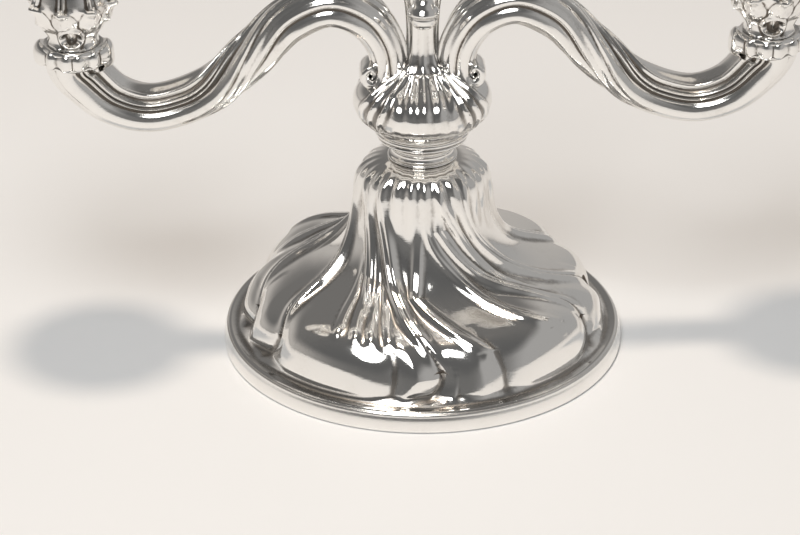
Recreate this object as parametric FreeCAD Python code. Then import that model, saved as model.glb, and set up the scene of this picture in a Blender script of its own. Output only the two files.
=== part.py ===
import FreeCAD, Part
import os
from math import cos, exp, pi, radians, sin

from FreeCAD import Vector

# Three-light table candelabra in silver: a weighted, swirl-fluted foot, and a branch section that
# plugs into its neck, with two scrolling arms, three drip pans, three candle cups and three nozzles.
# Millimetres, +Z up, origin at the centre of the foot on the table, arms along X.

# ---- driving dimensions -------------------------------------------------------------------------
FOOT_RADIUS = 75.0          # outside of the foot's border
FOOT_BAND = 7.0             # height of the border
FLANGE_TOP = 8.0            # upper face of the flat edge of the raised foot
SHEET = 1.1                 # thickness of the raised foot
NECK_BOTTOM = 75.4          # top of the raised foot
NECK_TOP = 82.95            # top of the base, where the branch section sits down
JOINT_GAP = 0.1             # gap under each part that rests on another and can be lifted off
PLUG_RADIUS = 8.0           # spigot of the branch section
PLUG_BOTTOM = 58.0
RUNNING = 0.05              # radial clearance of a plug or nozzle in its socket
COLLAR_TOP = 88.0
KNOP_TOP = 113.0
KNOP_RADIUS = 25.2
COLUMN_RADIUS = 6.0
COLUMN_TOP = 150.0
ARM_REACH = 126.2           # from the middle of the object to the middle of a side candle
SIDE_PAN_Z = 154.0          # underside of a side drip pan
CENTRE_PAN_Z = 200.0
PAN_RADIUS = 33.0
PAN_DEPTH = 5.0
CUP_HEIGHT = 32.0
CUP_BORE = 13.0             # inside radius of a candle cup
NOZZLE_HEIGHT = 2.4         # thickness of a nozzle's flange
NOZZLE_TUBE = 21.0          # length of a nozzle's tube below its flange
CANDLE_RADIUS = 11.2        # bore that holds a 22 mm candle
ROD_RADIUS = 2.5

# Half outline of the raised foot over the crests of its flutes: radius, height, depth of the flutes.
FOOT_OUTLINE = [
    (67.6, 7.0, 1.0), (66.9, 11.5, 2.2), (64.8, 17.5, 3.6), (61.0, 23.0, 4.6), (54.0, 28.0, 5.2),
    (45.2, 32.8, 4.8), (37.8, 37.8, 3.9), (32.4, 43.6, 3.0), (28.8, 50.5, 2.4), (26.8, 58.0, 2.1),
    (25.4, 66.0, 1.8), (22.6, 71.4, 1.3), (17.6, 74.8, 0.6), (11.8, 75.4, 0.1),
]
FLUTE_PAIRS = 6             # each pair is one broad flute and one narrow one
BROAD_FLUTE = 40.0          # degrees of a broad flute's width
SWIRL = 46.0                # degrees that a flute turns on its way down
SWIRL_TOP = 66.0            # height at which the flutes start to turn
SWIRL_BOTTOM = 20.0
FLUTE_START = -132.0        # direction of a groove at the top of the foot, degrees from +X

# Middle line of an arm, seen from the front: distance from the column, height, half thickness.
ARM_LINE = [
    (11.0, 105.5, 6.6), (12.5, 119.0, 7.2), (20.5, 131.5, 8.2), (33.5, 136.8, 8.7),
    (48.0, 130.8, 8.5), (62.0, 117.2, 8.3), (77.0, 104.0, 8.5), (98.5, 96.8, 8.8),
    (112.6, 100.6, 9.4), (121.6, 109.0, 10.4), (125.9, 119.0, 10.8),
]
ARM_RIDGES = 5
ARM_TWIST = 150.0           # degrees that the ridges turn between the crest and the dip
ARM_END = 116.6             # height of the flat end that carries the tip collar
STUD_BOTTOM = 111.0


# ---- ways of making a shape ---------------------------------------------------------------------
def curve_through(points):
    """An edge through the points: straight for two of them, a smooth curve for more."""
    if len(points) == 2:
        return Part.LineSegment(points[0], points[1]).toShape()
    curve = Part.BSplineCurve()
    curve.interpolate(points)
    return curve.toShape()


def turned(*runs):
    """A solid of revolution about Z. Each run is a list of (radius, height) points."""
    edges = [curve_through([Vector(r, 0, z) for r, z in run]) for run in runs]
    face = Part.Face(Part.Wire(edges))
    return face.revolve(Vector(0, 0, 0), Vector(0, 0, 1), 360)


def stepped(*corners):
    """A solid of revolution whose half section is a polygon of (radius, height) corners."""
    closed = list(corners) + [corners[0]]
    return turned(*[[closed[i], closed[i + 1]] for i in range(len(corners))])


def cylinder(radius, bottom, top, x=0.0):
    return Part.makeCylinder(radius, top - bottom, Vector(x, 0, bottom))


def ring_wire(radius_at, height, points=96, arcs=1):
    """A closed level curve whose radius changes with the angle, cut into arcs of equal span."""
    ring = []
    for i in range(points):
        angle = 2 * pi * i / points
        radius = radius_at(angle)
        ring.append(Vector(radius * cos(angle), radius * sin(angle), height))
    curve = Part.BSplineCurve()
    curve.interpolate(Points=ring, PeriodicFlag=True)
    knots = curve.getKnots()
    step = (len(knots) - 1) // arcs
    return Part.Wire([curve.toShape(knots[k * step], knots[(k + 1) * step]) for k in range(arcs)])


def lobed(outline, lobes, phase=0.0):
    """A solid through level lobed curves: outline is a list of (crest radius, height, lobe depth)."""
    wires = []
    for radius, height, depth in outline:
        def radius_at(angle):
            return radius - depth * 0.5 * (1 - cos(lobes * (angle - phase)))

        wires.append(ring_wire(radius_at, height))
    return Part.makeLoft(wires, True)


def moved(shape, x=0.0, z=0.0):
    copy = shape.copy()
    copy.translate(Vector(x, 0, z))
    return copy


def save(name, shape):
    shape.exportStep(os.path.join("parts", name + ".step"))


os.makedirs("parts", exist_ok=True)


# ---- base: a raised foot filled with pitch, on a wooden board -----------------------------------
def foot_swirl(height):
    share = (SWIRL_TOP - height) / (SWIRL_TOP - SWIRL_BOTTOM)
    return SWIRL * min(1.0, max(0.0, share)) ** 1.3


def flute_depth(angle):
    """Depth of the grooves between the flutes, from 0 on a crest to 1 in a groove."""
    pair = 360.0 / FLUTE_PAIRS
    within = (angle * 180 / pi) % pair
    grooves = (0.0, BROAD_FLUTE, pair)
    nearest = min(abs(within - groove) for groove in grooves)
    return exp(-(nearest / 7.0) ** 2)


def foot_solid(inset):
    """The raised foot as a closed solid, shrunk by the inset at the sides and at the top."""
    wires = []
    for crest, height, depth in FOOT_OUTLINE:
        turn = radians(FLUTE_START + foot_swirl(height))

        def radius_at(angle):
            return crest - inset - depth * flute_depth(angle - turn)

        lowered = height - inset * (height - FOOT_BAND) / (NECK_BOTTOM - FOOT_BAND)
        wires.append(ring_wire(radius_at, lowered, arcs=4 * FLUTE_PAIRS))
    return Part.makeLoft(wires, True)


SOCKET_WALL = 1.2
SOCKET_BORE = PLUG_RADIUS + RUNNING
SOCKET_OUT = SOCKET_BORE + SOCKET_WALL
SOCKET_FLOOR = PLUG_BOTTOM - 3.0
BOARD_RADIUS = 69.7
BOARD_BOTTOM = 1.2
NUT_POCKET_TOP = 5.4
NUT_POCKET_RADIUS = 8.0
BOLT_RADIUS = 2.5
WASHER_THICKNESS = 0.6


def base_shell():
    outside = foot_solid(0.0)
    inside = foot_solid(SHEET)
    flange = stepped((62.0, FOOT_BAND), (73.4, FOOT_BAND), (73.4, FLANGE_TOP), (62.0, FLANGE_TOP))
    shell = outside.fuse(flange).cut(inside)
    neck_seat = cylinder(14.0, NECK_BOTTOM, NECK_TOP)
    return shell.cut(cylinder(SOCKET_OUT, FOOT_BAND, NECK_TOP)).cut(neck_seat)


def foot_border():
    return turned(
        [(BOARD_RADIUS + 0.1, 0.0), (FOOT_RADIUS - 0.6, 0.0)],
        [(FOOT_RADIUS - 0.6, 0.0), (FOOT_RADIUS, 0.8), (FOOT_RADIUS - 0.2, 3.4),
         (FOOT_RADIUS - 1.0, FOOT_BAND - 0.8), (FOOT_RADIUS - 1.5, FOOT_BAND)],
        [(FOOT_RADIUS - 1.5, FOOT_BAND), (BOARD_RADIUS + 0.1, FOOT_BAND)],
        [(BOARD_RADIUS + 0.1, FOOT_BAND), (BOARD_RADIUS + 0.1, 0.0)],
    )


def foot_filling():
    filling = foot_solid(SHEET + 0.3)
    bolt_hole = cylinder(BOLT_RADIUS + 0.05, 0.0, SOCKET_FLOOR)
    socket_hole = cylinder(SOCKET_OUT + 0.05, SOCKET_FLOOR - 0.05, NECK_TOP)
    return filling.cut(bolt_hole).cut(socket_hole)


def base_board():
    board = cylinder(BOARD_RADIUS, BOARD_BOTTOM, FOOT_BAND - 0.05)
    pocket = cylinder(NUT_POCKET_RADIUS, 0.0, NUT_POCKET_TOP)
    return board.cut(pocket).cut(cylinder(BOLT_RADIUS + 0.05, 0.0, FOOT_BAND))


def neck_moulding():
    """Ring mouldings round the socket: a cavetto between fine beads."""
    bore = SOCKET_OUT + 0.05
    return turned(
        [(bore, NECK_BOTTOM + 0.05), (12.4, NECK_BOTTOM + 0.05)],
        [(12.4, NECK_BOTTOM + 0.05), (12.9, 76.3), (12.0, 77.0)],
        [(12.0, 77.0), (11.2, 77.7), (11.0, 78.8), (11.3, 79.7)],
        [(11.3, 79.7), (12.2, 80.3), (11.6, 81.0)],
        [(11.6, 81.0), (12.8, 81.7), (13.6, NECK_TOP)],
        [(13.6, NECK_TOP), (bore, NECK_TOP)],
        [(bore, NECK_TOP), (bore, NECK_BOTTOM + 0.05)],
    )


def socket_tube():
    tube = cylinder(SOCKET_OUT, SOCKET_FLOOR, NECK_TOP)
    return tube.cut(cylinder(SOCKET_BORE, PLUG_BOTTOM - 0.5, NECK_TOP + 1))


def hexagon_nut(across_flats, bottom, top, bore, x=0.0):
    corner = across_flats / 2 / cos(pi / 6)
    corners = [Vector(x + corner * cos(k * pi / 3), corner * sin(k * pi / 3), bottom) for k in range(7)]
    nut = Part.Face(Part.makePolygon(corners)).extrude(Vector(0, 0, top - bottom))
    return nut.cut(cylinder(bore, bottom - 1, top + 1, x))


def make_base():
    save("base_shell", base_shell())
    save("foot_border", foot_border())
    save("foot_filling", foot_filling())
    save("base_board", base_board())
    save("base_felt", cylinder(BOARD_RADIUS - 0.4, 0.0, BOARD_BOTTOM))
    save("neck_moulding", neck_moulding())
    save("socket_tube", socket_tube())
    save("base_bolt", cylinder(BOLT_RADIUS, BOARD_BOTTOM + 0.3, SOCKET_FLOOR))
    washer = cylinder(7.0, NUT_POCKET_TOP - WASHER_THICKNESS, NUT_POCKET_TOP)
    save("base_washer", washer.cut(cylinder(BOLT_RADIUS, 0.0, FOOT_BAND)))
    nut_top = NUT_POCKET_TOP - WASHER_THICKNESS
    save("base_nut", hexagon_nut(8.0, BOARD_BOTTOM + 0.4, nut_top, BOLT_RADIUS))


# ---- branch section: collar, knop, column, arms and their lights --------------------------------
COLLAR_BOTTOM = NECK_TOP + JOINT_GAP
ROD_BOTTOM = COLLAR_TOP + 2.0


def collar_ring():
    bore = PLUG_RADIUS + RUNNING
    return turned(
        [(bore, COLLAR_BOTTOM), (15.2, COLLAR_BOTTOM)],
        [(15.2, COLLAR_BOTTOM), (16.7, 83.7), (16.4, 84.5)],
        [(16.4, 84.5), (17.5, 85.2), (17.6, 86.4), (17.0, 87.2), (16.2, COLLAR_TOP)],
        [(16.2, COLLAR_TOP), (bore, COLLAR_TOP)],
        [(bore, COLLAR_TOP), (bore, COLLAR_BOTTOM)],
    )


# Half outline of the knop over the crests of its lobes: radius, height, depth of the lobes.
KNOP_OUTLINE = [
    (16.4, COLLAR_TOP, 0.4), (20.6, 90.4, 1.2), (24.1, 94.2, 2.0), (KNOP_RADIUS, 98.6, 2.4),
    (24.0, 102.6, 2.2), (20.4, 106.0, 1.6), (14.6, 109.6, 0.9), (9.0, KNOP_TOP, 0.3),
]


def knop():
    body = lobed(KNOP_OUTLINE, 8, phase=radians(-90))
    return body.cut(cylinder(ROD_RADIUS, ROD_BOTTOM, KNOP_TOP + 1))


def knop_clearance():
    """The space that the knop fills, with which the scrolls of the arms are cut to sit on it."""
    side = [(r + 0.05, z + 0.05) for r, z, _ in KNOP_OUTLINE[1:]]
    return turned([(0.0, 88.0), (side[0][0], 88.0)], [(side[0][0], 88.0), side[0]], side,
                  [side[-1], (0.0, side[-1][1])], [(0.0, side[-1][1]), (0.0, 88.0)])


def column_solid(gap=0.0):
    side = [(8.4, KNOP_TOP), (COLUMN_RADIUS + 0.3, 116.5), (COLUMN_RADIUS, 122.0),
            (COLUMN_RADIUS + 0.3, 134.0), (COLUMN_RADIUS + 2.6, 145.0), (10.5, COLUMN_TOP)]
    side = [(radius + gap, height) for radius, height in side]
    return turned([(0.0, KNOP_TOP), side[0]], side, [side[-1], (0.0, COLUMN_TOP)],
                  [(0.0, COLUMN_TOP), (0.0, KNOP_TOP)])


def column():
    return column_solid().cut(cylinder(ROD_RADIUS, KNOP_TOP - 1, COLUMN_TOP + 1))


def boss(side):
    """A drop-shaped boss on the front or the back of the column, above the meeting of the arms."""
    outline = [(0.8, 129.8, 0.0), (3.1, 130.9, 0.2), (5.0, 133.6, 0.4), (5.1, 136.8, 0.4),
               (3.4, 140.4, 0.2), (0.8, 143.0, 0.0)]
    drop = lobed(outline, 6)
    drop.translate(Vector(0, side * 9.4, 0))
    return drop.cut(column_solid(gap=0.05))


def line_at(share):
    """Point, direction and half thickness of the arm's middle line, from 0 at the column to 1."""
    points = [Vector(x, 0, z) for x, z, _ in ARM_LINE]
    line = Part.BSplineCurve()
    line.interpolate(points)
    first, last = line.FirstParameter, line.LastParameter
    where = first + (last - first) * share
    knots = line.getKnots()
    span = max(i for i in range(len(knots) - 1) if knots[i] <= where + 1e-9)
    within = (where - knots[span]) / (knots[span + 1] - knots[span])
    radius = ARM_LINE[span][2] * (1 - within) + ARM_LINE[span + 1][2] * within
    return line.value(where), line.tangent(where)[0], radius


def arm_section(share, points=40):
    """A closed ridged curve square to the middle line. Its ridges turn as they leave the crest."""
    middle, along, radius = line_at(share)
    upward = Vector(-along.z, 0, along.x)
    turn = radians(ARM_TWIST) * min(1.0, max(0.0, (share - 0.3) / 0.4))
    ring = []
    for i in range(points):
        angle = 2 * pi * i / points
        ridge = 1 - 0.045 * (1 - cos(ARM_RIDGES * (angle - turn)))
        offset = Vector(0, 1, 0) * (radius * ridge * cos(angle))
        ring.append(middle + offset + upward * (radius * ridge * sin(angle)))
    curve = Part.BSplineCurve()
    curve.interpolate(Points=ring, PeriodicFlag=True)
    return Part.Wire(curve.toShape())


def arm():
    """The right arm: cast in one with the scroll that rests on the knop."""
    stations = 20
    body = Part.makeLoft([arm_section(i / stations) for i in range(stations + 1)], True)
    scroll = Part.makeCylinder(4.4, 12.0, Vector(18.6, -6.0, 111.4), Vector(0, 1, 0))
    body = body.fuse(scroll)
    above_tip = cylinder(20.0, ARM_END, ARM_END + 20, ARM_REACH)
    stud_hole = cylinder(ROD_RADIUS + 0.05, STUD_BOTTOM - 0.05, ARM_END, ARM_REACH)
    body = body.cut(above_tip).cut(stud_hole)
    return body.cut(knop_clearance()).cut(column_solid(gap=0.05))


def tip_collar():
    """The knuckled collar in which an arm ends."""
    outline = [(11.2, ARM_END + 0.05, 0.6), (13.6, 118.2, 1.6), (14.3, 120.0, 2.2), (12.6, 122.0, 1.6),
               (9.6, 123.2, 0.6)]
    body = lobed(outline, 8)
    return body.cut(cylinder(ROD_RADIUS, ARM_END, 128.0))


def pan_neck(pan_z, waist_z, bottom_z):
    """The waisted neck under a drip pan, with the calyx that spreads out beneath it."""
    outline = [(9.6, bottom_z, 0.6), (8.8, waist_z - 1.0, 1.0), (9.6, waist_z + 4.0, 1.2),
               (13.4, waist_z + 11.0, 1.8), (14.6, waist_z + 16.0, 1.6), (11.6, pan_z - 2.4, 0.8),
               (10.0, pan_z, 0.2)]
    return lobed(outline, 8).cut(cylinder(ROD_RADIUS, bottom_z - 1, pan_z + 1))


PAN_FLOOR = 1.0


def drip_pan():
    """A shallow dish with a wavy edge, made at height 0."""
    outside = [(11.0, 0.0, 0.0), (20.0, 0.5, 0.2), (27.0, 2.0, 0.6), (31.4, 4.2, 1.0),
               (PAN_RADIUS, PAN_DEPTH, 1.2)]
    inside = [(r - 1.3, z + PAN_FLOOR, d) for r, z, d in outside[:4]]
    inside.append((PAN_RADIUS - 1.0, PAN_DEPTH + PAN_FLOOR + 0.2, 1.2))
    dish = lobed(outside, 12).cut(lobed(inside, 12))
    return dish.cut(cylinder(ROD_RADIUS, -1.0, PAN_DEPTH + 1))


def candle_cup():
    """The urn-shaped cup that stands in a drip pan, made at height 0."""
    outside = [(9.0, 0.0, 0.2), (7.6, 2.4, 0.4), (11.4, 6.0, 1.0), (15.6, 12.0, 1.4),
               (16.6, 19.0, 1.2), (15.2, 26.0, 0.6), (15.4, 29.0, 0.2), (16.6, CUP_HEIGHT, 0.0)]
    body = lobed(outside, 8)
    return body.cut(cylinder(CUP_BORE, 8.6, CUP_HEIGHT + 1)).cut(cylinder(ROD_RADIUS, -1.0, 10.0))


def nozzle():
    """The loose liner that holds the candle, made with the underside of its flange at height 0."""
    tube = CUP_BORE - RUNNING
    body = turned(
        [(CANDLE_RADIUS, -NOZZLE_TUBE), (tube, -NOZZLE_TUBE)],
        [(tube, -NOZZLE_TUBE), (tube, 0.0)],
        [(tube, 0.0), (17.0, 0.0)],
        [(17.0, 0.0), (19.4, 0.9), (20.6, NOZZLE_HEIGHT)],
        [(20.6, NOZZLE_HEIGHT), (19.6, NOZZLE_HEIGHT), (16.6, 1.3), (CANDLE_RADIUS, 1.1)],
        [(CANDLE_RADIUS, 1.1), (CANDLE_RADIUS, -NOZZLE_TUBE)],
    )
    floor = cylinder(CANDLE_RADIUS + 0.5, -NOZZLE_TUBE, -NOZZLE_TUBE + 1.0)
    return body.fuse(floor)


def upper_stem():
    """The baluster between the meeting of the arms and the middle drip pan."""
    outline = [(10.5, COLUMN_TOP, 0.4), (14.0, 153.5, 1.6), (15.2, 158.5, 2.0), (12.0, 165.0, 1.4),
               (7.4, 173.0, 0.8), (6.6, 177.0, 0.6)]
    return lobed(outline, 8).cut(cylinder(ROD_RADIUS, COLUMN_TOP - 1, 178.0))


def light(name, x, pan_z):
    """One light: drip pan, cup, nozzle and the nut that holds them down."""
    cup_z = pan_z + PAN_FLOOR
    nozzle_z = cup_z + CUP_HEIGHT + JOINT_GAP
    save(name + "_drip_pan", moved(drip_pan(), x, pan_z))
    save(name + "_candle_cup", moved(candle_cup(), x, cup_z))
    save(name + "_nozzle", moved(nozzle(), x, nozzle_z))
    save(name + "_nut", hexagon_nut(7.0, cup_z + 8.6, cup_z + 10.6, ROD_RADIUS, x))
    return cup_z + 11.0


def make_branch():
    save("branch_plug", cylinder(PLUG_RADIUS, PLUG_BOTTOM, COLLAR_TOP - 0.1).cut(
        cylinder(PLUG_RADIUS - 1.2, PLUG_BOTTOM, COLLAR_TOP - 3.0)))
    save("collar_ring", collar_ring())
    save("knop", knop())
    save("column", column())
    save("front_boss", boss(-1))
    save("rear_boss", boss(1))
    right_arm = arm()
    for name, side in (("right", 1), ("left", -1)):
        x = side * ARM_REACH
        across = Vector(1, 0, 0)
        save(name + "_arm", right_arm if side > 0 else right_arm.mirror(Vector(0, 0, 0), across))
        save(name + "_tip_collar", moved(tip_collar(), x))
        save(name + "_pan_neck", moved(pan_neck(SIDE_PAN_Z, 125.0, 123.2), x))
        stud_top = light(name, x, SIDE_PAN_Z)
        save(name + "_stud", cylinder(ROD_RADIUS, STUD_BOTTOM, stud_top, x))
    save("upper_stem", upper_stem())
    save("centre_pan_neck", pan_neck(CENTRE_PAN_Z, 179.0, 177.0))
    rod_top = light("centre", 0.0, CENTRE_PAN_Z)
    save("tie_rod", cylinder(ROD_RADIUS, ROD_BOTTOM, rod_top))


make_base()
make_branch()
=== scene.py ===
from math import cos, pi, radians, sin

import bpy
import numpy as np
from mathutils import Matrix, Vector


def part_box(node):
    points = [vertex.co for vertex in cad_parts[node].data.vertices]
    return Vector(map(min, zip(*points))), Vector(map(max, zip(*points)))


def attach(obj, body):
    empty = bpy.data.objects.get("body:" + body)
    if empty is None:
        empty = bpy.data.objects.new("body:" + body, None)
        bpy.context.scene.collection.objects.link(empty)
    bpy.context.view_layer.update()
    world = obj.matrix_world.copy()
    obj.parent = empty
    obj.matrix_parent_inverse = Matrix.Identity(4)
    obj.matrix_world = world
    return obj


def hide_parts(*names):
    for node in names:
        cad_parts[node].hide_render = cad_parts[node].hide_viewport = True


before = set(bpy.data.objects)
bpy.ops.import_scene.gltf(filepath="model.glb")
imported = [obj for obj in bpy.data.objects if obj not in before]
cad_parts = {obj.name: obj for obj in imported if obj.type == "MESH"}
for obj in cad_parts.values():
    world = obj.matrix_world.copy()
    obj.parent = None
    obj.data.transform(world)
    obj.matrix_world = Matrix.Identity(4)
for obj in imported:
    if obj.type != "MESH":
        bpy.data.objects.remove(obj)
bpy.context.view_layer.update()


# ---- The border of the foot ---------------------------------------------------------------------
# A drawn silver band with a rolled lower edge, soldered round the rim of the raised foot. It takes the
# wear of being slid about on the table, so it is duller and more scratched than the rest.

MM = 0.001


def flow(points, count):
    """Evenly spaced points on a smooth curve through the given ones, as an array."""
    points = np.array(points, float)
    lengths = np.linalg.norm(np.diff(points, axis=0), axis=1)
    knots = np.concatenate([[0], np.cumsum(np.sqrt(lengths))])
    dense = np.linspace(0, knots[-1], count * 6)
    curve = np.stack([eased(list(zip(knots, column)), dense) for column in points.T], 1)
    run = np.concatenate([[0], np.cumsum(np.linalg.norm(np.diff(curve, axis=0), axis=1))])
    even = np.linspace(0, run[-1], count)
    return np.stack([np.interp(even, run, column) for column in curve.T], 1)


def eased(table, at):
    """A smooth function through (position, value) pairs, held level beyond the first and last."""
    x, y = np.array(table, float).T
    slope = np.gradient(y, x)
    at = np.clip(at, x[0], x[-1])
    i = np.clip(np.searchsorted(x, at) - 1, 0, len(x) - 2)
    span = x[i + 1] - x[i]
    t = (at - x[i]) / span
    return (y[i] * (1 + 2 * t) * (1 - t) ** 2 + slope[i] * span * t * (1 - t) ** 2
            + y[i + 1] * t * t * (3 - 2 * t) + slope[i + 1] * span * t * t * (t - 1))


def edit(piece):
    """Opens a piece in edit mode with all of it selected."""
    bpy.ops.object.select_all(action="DESELECT")
    piece.select_set(True)
    bpy.context.view_layer.objects.active = piece
    bpy.ops.object.mode_set(mode="EDIT")
    bpy.ops.mesh.select_all(action="SELECT")


def close_skin(piece):
    """Joins the seam and the poles of a skin, fills open ends and turns the faces outwards."""
    edit(piece)
    bpy.ops.mesh.remove_doubles(threshold=1e-6)
    bpy.ops.mesh.select_all(action="DESELECT")
    bpy.ops.mesh.select_non_manifold(extend=False)
    if piece.data.total_edge_sel:
        bpy.ops.mesh.fill_holes(sides=0)
    bpy.ops.mesh.select_all(action="SELECT")
    bpy.ops.mesh.normals_make_consistent(inside=False)
    bpy.ops.object.mode_set(mode="OBJECT")
    bpy.ops.object.shade_smooth_by_angle(angle=radians(50))


def mark_recesses(piece, reach, depth):
    """Stores how far each point lies below its surroundings, in depths, for the tarnish to gather in."""
    mesh = piece.data
    count = len(mesh.vertices)
    place = np.zeros(count * 3)
    mesh.vertices.foreach_get("co", place)
    place = place.reshape(-1, 3)
    outward = np.zeros(count * 3)
    mesh.vertex_normals.foreach_get("vector", outward)
    ends = np.zeros(len(mesh.edges) * 2, int)
    mesh.edges.foreach_get("vertices", ends)
    a, b = ends.reshape(-1, 2).T
    both, other = np.concatenate([a, b]), np.concatenate([b, a])
    neighbours = np.maximum(np.bincount(both, minlength=count), 1)
    level = place.copy()
    for _ in range(reach):
        level = np.stack([np.bincount(both, level[other, k], count) for k in range(3)], 1)
        level = level / neighbours[:, None]
    below = ((level - place) * outward.reshape(-1, 3)).sum(1) / (depth * MM)
    mark = mesh.attributes.new("recess", "FLOAT", "POINT")
    mark.data.foreach_set("value", np.clip(below, -1, 1).astype(np.float32))


def skin(name, around, along, place):
    """A piece wrapped from a flat grid: place(u, v) gives millimetres, u round the piece, v along it."""
    bpy.ops.object.select_all(action="DESELECT")
    bpy.ops.mesh.primitive_grid_add(x_subdivisions=around, y_subdivisions=along, size=1)
    piece = bpy.context.object
    piece.name = piece.data.name = name
    flat = np.zeros(len(piece.data.vertices) * 3)
    piece.data.vertices.foreach_get("co", flat)
    u, v = flat.reshape(-1, 3)[:, 0] + 0.5, flat.reshape(-1, 3)[:, 1] + 0.5
    x, y, z = place(np.where(u > 1 - 1e-6, 0.0, u), v)
    piece.data.vertices.foreach_set("co", (np.stack([x, y, z], 1) * MM).ravel())
    piece.data.update()
    close_skin(piece)
    return piece


def chased(name, outer, inner, around, relief, x=0.0, y=0.0, swirl=None, facing=-90.0, sheet=False):
    """A turned piece with chasing on its outside, or through it if it is sheet. The section runs up the
    outside and down the inside. relief(angle, height, radius, climb) gives millimetres outwards, for
    angles in degrees from the front, + to the right, and climb, how steeply the section rises."""
    line = np.concatenate([outer, inner])
    run = np.gradient(line, axis=0)
    run /= np.linalg.norm(run, axis=1)[:, None]
    rows = len(line)

    def place(u, v):
        row = np.rint(v * (rows - 1)).astype(int)
        radius, height = line[row].T
        angle = 360 * u
        if swirl is not None:
            angle = angle + eased(swirl, height)
        lift = relief(angle, height, radius, run[row, 1])
        lift = np.where(row < len(outer), lift, -lift if sheet else 0.0)
        r = radius + run[row, 1] * lift
        turn = np.radians(angle + facing)
        return x + r * np.cos(turn), y + r * np.sin(turn), height - run[row, 0] * lift

    return skin(name, around, rows - 1, place)


def plain(angle, height, radius, climb):
    return np.zeros_like(angle)


class Wire:
    """A shader socket that takes part in sums: + - * and any other operation of a Math node."""

    def __init__(self, tree, socket):
        self.tree, self.socket = tree, socket

    def node(self, kind, settings=(), **sockets):
        """Any other node: its type, its settings, and its sockets' values or links, by name or as i0, i1."""
        made = self.tree.nodes.new(kind)
        for key, value in dict(settings).items():
            setattr(made, key, value)
        for key, value in sockets.items():
            names = {s.name.replace(" ", "_"): s for s in made.inputs if s.enabled}
            target = made.inputs[int(key[1:])] if key[0] == "i" and key[1:].isdigit() else names[key]
            if isinstance(value, Wire):
                self.tree.links.new(value.socket, target)
            else:
                target.default_value = value
        outputs = [s for s in made.outputs if s.enabled]
        return Wire(self.tree, outputs[0])

    def out(self, index):
        return Wire(self.tree, self.socket.node.outputs[index])

    def math(self, operation, a, b):
        return self.node("ShaderNodeMath", {"operation": operation}, i0=a, i1=b)

    def __add__(self, b):
        return self.math("ADD", self, b)

    def __radd__(self, b):
        return self.math("ADD", b, self)

    def __sub__(self, b):
        return self.math("SUBTRACT", self, b)

    def __rsub__(self, b):
        return self.math("SUBTRACT", b, self)

    def __mul__(self, b):
        return self.math("MULTIPLY", self, b)

    def __rmul__(self, b):
        return self.math("MULTIPLY", b, self)

    def between(self, low, high):
        """0 below low, 1 above high, smooth in between."""
        return self.node("ShaderNodeMapRange", {"interpolation_type": "SMOOTHSTEP"},
                         Value=self, From_Min=low, From_Max=high)

    def mix(self, a, b):
        """Colour a where this is 0, colour b where it is 1."""
        mixed = self.node("ShaderNodeMix", {"data_type": "RGBA"}, i0=self, i6=a, i7=b)
        return mixed.out(2)


def finish(name, metallic, base, roughness):
    """A new material with its main shader. Returns the material, a Wire to build with and the shader."""
    material = bpy.data.materials.new(name)
    material.use_nodes = True
    tree = material.node_tree
    shader = tree.nodes["Principled BSDF"]
    shader.inputs["Metallic"].default_value = metallic
    shader.inputs["Base Color"].default_value = base
    shader.inputs["Roughness"].default_value = roughness
    place = Wire(tree, tree.nodes.new("ShaderNodeTexCoord").outputs["Object"])
    return material, place, shader


def colour(red, green, blue):
    return (red, green, blue, 1.0)


def silver(name, polish, tarnish, scratches):
    """Polished silver: grey-brown sulphide in its recesses, faint clouding, and fine rubbing marks."""
    material, place, shader = finish(name, 1.0, colour(0.9, 0.88, 0.85), polish)
    link = material.node_tree.links.new
    recess = place.node("ShaderNodeAttribute", {"attribute_name": "recess"}).out(2)
    cloud = place.node("ShaderNodeTexNoise", Vector=place, Scale=70.0, Detail=5.0, Roughness=0.6)
    speck = place.node("ShaderNodeTexNoise", Vector=place, Scale=900.0, Detail=3.0, Roughness=0.7)
    dark = (recess + (cloud - 0.5) * 0.7 + (speck - 0.5) * 0.5).between(0.10, 0.85) * tarnish
    haze = cloud.between(0.45, 0.75) * speck.between(0.35, 0.7) * (0.25 * tarnish)
    clean = dark.mix(colour(0.90, 0.885, 0.86), colour(0.17, 0.15, 0.13))
    link(haze.mix(clean, colour(0.52, 0.48, 0.43)).socket, shader.inputs["Base Color"])
    link((polish + dark * 0.28 + haze * 0.2 + (speck - 0.5) * 0.03).socket, shader.inputs["Roughness"])
    stretched = place.node("ShaderNodeMapping", Vector=place, Scale=(160.0, 900.0, 2600.0))
    rubs = place.node("ShaderNodeTexNoise", Vector=stretched, Scale=1.0, Detail=4.0, Roughness=0.65)
    dents = place.node("ShaderNodeTexNoise", Vector=place, Scale=110.0, Detail=2.0)
    height = rubs * scratches + dents * 0.25 + dark * speck * 0.35
    bump = place.node("ShaderNodeBump", Strength=0.12, Distance=0.0003, Height=height)
    link(bump.socket, shader.inputs["Normal"])
    return material


def assign(piece, material):
    piece.data.materials.clear()
    piece.data.materials.append(material)


def fit(piece, material, body, node):
    """Gives a piece its material and the body it moves with, and hides the node it stands for."""
    assign(piece, material)
    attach(piece, body)
    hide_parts(node)


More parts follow.
